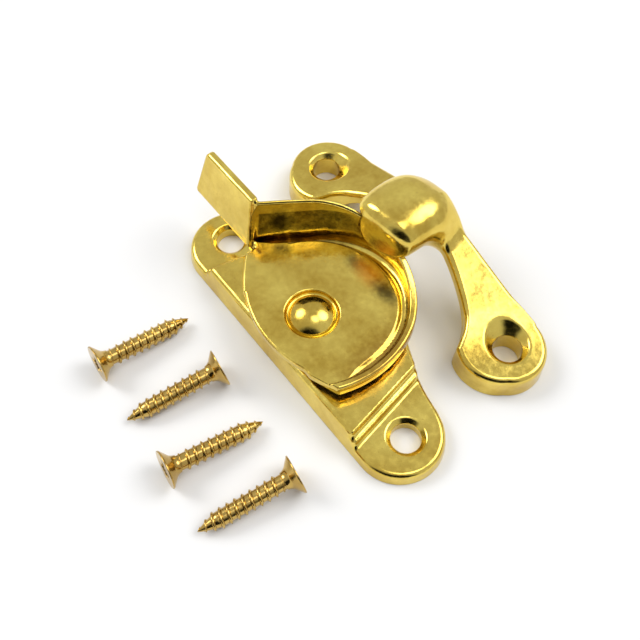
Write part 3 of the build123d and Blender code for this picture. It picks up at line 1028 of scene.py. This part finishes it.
@dataclass
class WoodScrew:
    """Countersunk wood screw: threaded shank by Geometry Nodes, recessed head as a form.

    Its own frame has the head's face at the origin and the point towards -z.
    """

    length: float = 16.0
    head_r: float = 3.0
    head_rim: float = 0.25
    head_h: float = 1.75
    core_r: float = 1.18
    thread_r: float = 1.55
    neck: float = 0.45
    point: float = 3.2
    pitch: float = 1.22
    recess_r: float = 1.6
    recess_w: float = 0.62
    recess_depth: float = 1.2
    tick_r: float = 1.05
    tick_w: float = 0.22
    tick_depth: float = 0.4

    def head(self) -> Form:
        """The head with its cross recess and the four fine slots between its arms."""
        flare = (self.head_r - self.core_r) / (self.head_h - self.head_rim)
        under = cone(0, 0, -self.head_rim, self.head_r, flare)
        throat = disc(0, 0, self.core_r + 0.16).common(layer(-self.head_h - self.neck, 0), 0.1)
        solid = under.common(layer(-self.head_h - 0.2, 0)).join(throat, 0.5)
        solid = solid.common(disc(0, 0, self.head_r), 0.08).common(below(0), 0.12)
        for turn in range(4):
            lean = math.radians(45 * turn)
            c, s = math.cos(lean), math.sin(lean)
            main_arm = (self.recess_w / 2, self.recess_r, self.recess_depth)
            half, reach, depth = (self.tick_w / 2, self.tick_r, self.tick_depth) if turn % 2 else main_arm
            across = Form(lambda at, c=c, s=s, half=half: np.abs(at[1] * c - at[0] * s) - half)
            along = Form(lambda at, reach=reach: np.hypot(at[0], at[1]) - reach - at[2] * 0.45)
            solid = solid.cut(across.common(along).common(above(-depth)), 0.06)
        return solid

    def taper(self, tree: GeometryTree) -> bpy.types.NodeSocket:
        """Share of the full radius at each point of a curve along the shank."""
        place = tree.node("GeometryNodeInputPosition", {}, {})
        z = tree.node("ShaderNodeSeparateXYZ", {}, {"Vector": place}, "Z")
        left = tree.math("ADD", z, tree.number("Length"))
        share = tree.math("DIVIDE", left, tree.number("Point"))
        return tree.math("MINIMUM", tree.math("MAXIMUM", tree.math("POWER", share, 0.75), 0.02), 1.0)

    def shank(self, material: bpy.types.Material) -> bpy.types.Mesh:
        """Core and thread, run as Geometry Nodes."""
        tree = GeometryTree(
            "screw_shank", **{
                "Length": self.length * MM, "Point": self.point * MM, "Core": self.core_r * MM,
                "Thread": (self.thread_r - self.core_r) * MM, "Neck": (self.head_h + self.neck) * MM,
                "Pitch": self.pitch * MM,
            },
        )
        start = tree.node("ShaderNodeCombineXYZ", {}, {"Z": -self.head_h * 0.6 * MM})
        bottom = tree.math("MULTIPLY", tree.number("Length"), -1.0)
        end = tree.node("ShaderNodeCombineXYZ", {}, {"Z": bottom})
        line = tree.node("GeometryNodeCurvePrimitiveLine", {}, {"Start": start, "End": end})
        line = tree.node("GeometryNodeResampleCurve", {}, {"Curve": line, "Count": 160})
        width = tree.math("MULTIPLY", self.taper(tree), tree.number("Core"))
        ring = tree.node("GeometryNodeCurvePrimitiveCircle", {}, {"Resolution": 40, "Radius": 1.0}, "Curve")
        core = self.swept(tree, line, ring, width)
        height = tree.math("SUBTRACT", tree.number("Length"), tree.number("Neck"))
        turns = tree.math("DIVIDE", height, tree.number("Pitch"))
        spiral = tree.node(
            "GeometryNodeCurveSpiral", {},
            {"Resolution": 36, "Rotations": turns, "Start Radius": tree.number("Core"),
             "End Radius": tree.number("Core"), "Height": height},
        )
        spiral = tree.node("GeometryNodeTransform", {}, {"Geometry": spiral, "Translation": end})
        share = self.taper(tree)
        place = tree.node("GeometryNodeInputPosition", {}, {})
        scale = tree.node("ShaderNodeCombineXYZ", {}, {"X": share, "Y": share, "Z": 1.0})
        moved = tree.node("ShaderNodeVectorMath", {"operation": "MULTIPLY"}, {0: place, 1: scale})
        spiral = tree.node("GeometryNodeSetPosition", {}, {"Geometry": spiral, "Position": moved})
        spiral = tree.node("GeometryNodeSetCurveNormal", {"mode": "Z_UP"}, {"Curve": spiral})
        factor = tree.node("GeometryNodeSplineParameter", {}, {}, "Factor")
        fade = tree.node("ShaderNodeMapRange", {}, {"Value": factor, "From Min": 1.0, "From Max": 0.93})
        ahead = tree.math("ADD", share, 0.15)
        grow = tree.math("MULTIPLY", tree.math("MINIMUM", fade, ahead), tree.number("Thread"))
        blade = tree.node("GeometryNodeCurvePrimitiveCircle", {}, {"Resolution": 4, "Radius": 1.0}, "Curve")
        flat = tree.node("GeometryNodeTransform", {}, {"Geometry": blade, "Scale": (1.0, 0.8, 1.0)})
        thread = self.swept(tree, spiral, flat, grow)
        both = tree.node("GeometryNodeJoinGeometry", {}, {"Geometry": [core, thread]})
        return tree.mesh(both, material)

    @staticmethod
    def swept(
        tree: GeometryTree,
        path: bpy.types.NodeSocket,
        profile: bpy.types.NodeSocket,
        scale: bpy.types.NodeSocket,
    ) -> bpy.types.NodeSocket:
        """Sweeps a closed profile along a path.

        Args:
            tree: The tree that it is added to.
            path: The curve to follow.
            profile: The profile, of radius 1.
            scale: The profile's size along the path.

        Returns:
            The smooth mesh with closed ends.
        """
        inputs = {"Curve": path, "Profile Curve": profile, "Scale": scale, "Fill Caps": True}
        body = tree.node("GeometryNodeCurveToMesh", {}, inputs)
        return tree.node("GeometryNodeSetShadeSmooth", {}, {"Geometry": body})


@dataclass(frozen=True)
class SoftBox:
    """A soft patch of light, or of dark, in the studio's surroundings."""

    towards: tuple[float, float, float]
    half_angle: float
    feather: float
    strength: float

    def patch(self, graph: Graph, at: Signal) -> Signal:
        """Its brightness over the surroundings."""
        dot = {0: at, 1: Vector(self.towards).normalized()}
        facing = graph.node("ShaderNodeVectorMath", {"operation": "DOT_PRODUCT"}, dot, "Value")
        edge = math.cos(math.radians(self.half_angle + self.feather))
        full = math.cos(math.radians(self.half_angle))
        return graph.steps(facing, edge, full) * self.strength


@dataclass
class Studio:
    """Floor, light and camera."""

    eye: tuple[float, float, float] = (49.5, -37.3, 115.6)
    aim: tuple[float, float, float] = (-1.93, 3.03, 0.0)
    lens: float = 46.2
    ambient: float = 0.62
    boxes: tuple[SoftBox, ...] = (
        SoftBox((-0.66, -0.35, 0.67), 9, 9, 7.0),
        SoftBox((0.24, 0.60, 0.76), 10, 12, 4.5),
        SoftBox((0.22, 0.05, 0.97), 7, 9, 3.0),
    )
    shade: SoftBox = SoftBox((0.66, -0.74, 0.13), 31, 19, 0.99)

    def camera(self) -> None:
        """Makes the scene's camera."""
        data = bpy.data.cameras.new("camera")
        data.lens = self.lens
        data.sensor_width = 36.0
        data.clip_start = 0.005
        data.clip_end = 10.0
        camera = bpy.data.objects.new("camera", data)
        camera.location = Vector(self.eye) * MM
        camera.rotation_euler = (Vector(self.aim) - Vector(self.eye)).to_track_quat("-Z", "Y").to_euler()
        bpy.context.scene.collection.objects.link(camera)
        bpy.context.scene.camera = camera

    def floor(self) -> None:
        """Makes the pale floor."""
        mesh = bpy.data.meshes.new("floor")
        reach = 1.5
        corners = [(-reach, -reach, 0), (reach, -reach, 0), (reach, reach, 0), (-reach, reach, 0)]
        mesh.from_pydata(corners, [], [(0, 1, 2, 3)])
        graph = Graph.of_material("floor_white")
        paint = {"Base Color": (0.82, 0.82, 0.82, 1), "Roughness": 0.85}
        graph.finish(graph.node("ShaderNodeBsdfPrincipled", {}, paint))
        mesh.materials.append(bpy.data.materials["floor_white"])
        floor = bpy.data.objects.new("floor", mesh)
        bpy.context.scene.collection.objects.link(floor)

    def surroundings(self) -> None:
        """Makes the pale surroundings with their soft boxes and the dark low down in front."""
        world = bpy.data.worlds.new("surroundings")
        world.use_nodes = True
        world.node_tree.nodes.clear()
        graph = Graph(world.node_tree)
        at = graph.node("ShaderNodeTexCoord", {}, {}, "Generated")
        light = self.ambient * (1 - self.shade.patch(graph, at))
        for box in self.boxes:
            light = light + box.patch(graph, at)
        background = graph.node("ShaderNodeBackground", {}, {"Color": (1, 1, 1, 1), "Strength": light})
        out = graph.tree.nodes.new("ShaderNodeOutputWorld")
        graph.tree.links.new(background.socket, out.inputs["Surface"])
        bpy.context.scene.world = world

    def build(self) -> None:
        """Sets up everything round the object."""
        bpy.context.scene.view_settings.view_transform = "Standard"
        self.surroundings()
        self.floor()
        self.camera()


@dataclass(frozen=True)
class LyingScrew:
    """Where one loose screw lies: the middle of its head's lowest edge, and its heading."""

    node: str
    body: Body
    x: float
    y: float
    heading: float
    roll: float

    def placement(self, screw: WoodScrew) -> Matrix:
        """Moves a screw from its own frame to where it lies.

        Args:
            screw: The screw.

        Returns:
            The matrix, in metres.
        """
        tilt = math.atan2(screw.head_r - screw.thread_r, screw.length - screw.point - screw.head_rim)
        height = screw.head_r * math.cos(tilt) + screw.head_rim * math.sin(tilt)
        lie = Matrix.Rotation(tilt - math.pi / 2, 4, "Y")
        turn = Matrix.Rotation(math.radians(self.heading), 4, "Z")
        roll = Matrix.Rotation(math.radians(self.roll), 4, "Z")
        return Matrix.Translation(Vector((self.x, self.y, height)) * MM) @ turn @ lie @ roll


def place_screws(caster: Caster) -> None:
    """Makes the wood screw once and lays it in its four places."""
    screw = WoodScrew()
    finish = BrassFinish("screw_brass_drawn", metal=(0.66, 0.46, 0.13), deep=(0.46, 0.29, 0.075))
    material = finish.material()
    reach = Vector((screw.head_r, screw.head_r, 0)) * MM
    fine = Caster(cell=caster.cell * 0.5, slides=caster.slides)
    low = Vector((-screw.head_r, -screw.head_r, -screw.head_h - screw.neck)) * MM
    head = mesh_from("screw_head", *fine.cast(screw.head(), low, reach))
    head.materials.append(material)
    shank = screw.shank(material)
    places = (
        LyingScrew("wood_screw_1", Body.SCREW_1, -15.5, -29.7, 86.9, 10),
        LyingScrew("wood_screw_2", Body.SCREW_2, -3.4, -15.0, -98.2, 35),
        LyingScrew("wood_screw_3", Body.SCREW_3, 5.1, -30.7, 82.9, 20),
        LyingScrew("wood_screw_4", Body.SCREW_4, 17.2, -16.1, -98.8, 60),
    )
    for place in places:
        for kind, mesh in (("head", head), ("shank", shank)):
            laid = mesh.copy()
            laid.transform(place.placement(screw))
            show(laid, f"{place.node}_{kind}", place.body, Slot.SCREW, place.node)


@dataclass(frozen=True)
class Piece:
    """A casting or washer, with the CAD node that it stands for."""

    node: str
    body: Body
    form: Form
    finish: BrassFinish
    slot: Slot = Slot.CASTING

    def build(self, caster: Caster) -> None:
        """Meshes the piece, gives it its finish and shows it in place of its node."""
        mesh = mesh_from(self.node, *caster.cast(self.form, *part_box(self.node)))
        mesh.materials.append(self.finish.material())
        show(mesh, f"{self.node}_drawn", self.body, self.slot, self.node)


def main() -> None:
    """Builds the pieces in order and reports each one."""
    logging.basicConfig(level=logging.INFO, format="%(message)s")
    caster = Caster(cell=0.2)
    lever = CamLever()
    spring = Washer(outer_r=5.8, bore_r=2.6, low=5.02, high=5.58, thick=0.3, waves=3)
    tail = Washer(outer_r=4.6, bore_r=2.05, low=2.4, high=3.4, thick=1.0)
    bronze = BrassFinish("spring_bronze_rolled", metal=(0.62, 0.36, 0.15), deep=(0.42, 0.22, 0.08))
    pieces = (
        Piece("base_plate", Body.BASE, BasePlate().form(), BrassFinish("brass_base")),
        Piece("cam_lever", Body.LEVER, lever.form(), BrassFinish("brass_lever", patches=lever.painted_shade_and_reflections)),
        Piece("keeper", Body.KEEPER, Keeper().form(), BrassFinish("brass_keeper")),
        Piece("pivot_rivet", Body.BASE, PivotRivet().form(), BrassFinish("brass_rivet")),
        Piece("spring_washer", Body.BASE, spring.form(), bronze, Slot.SPRING),
        Piece("tail_washer", Body.BASE, tail.form(), BrassFinish("brass_washer")),
    )
    for piece in pieces:
        piece.build(caster)
    place_screws(caster)
    Studio().build()


if __name__ == "__main__":
    main()
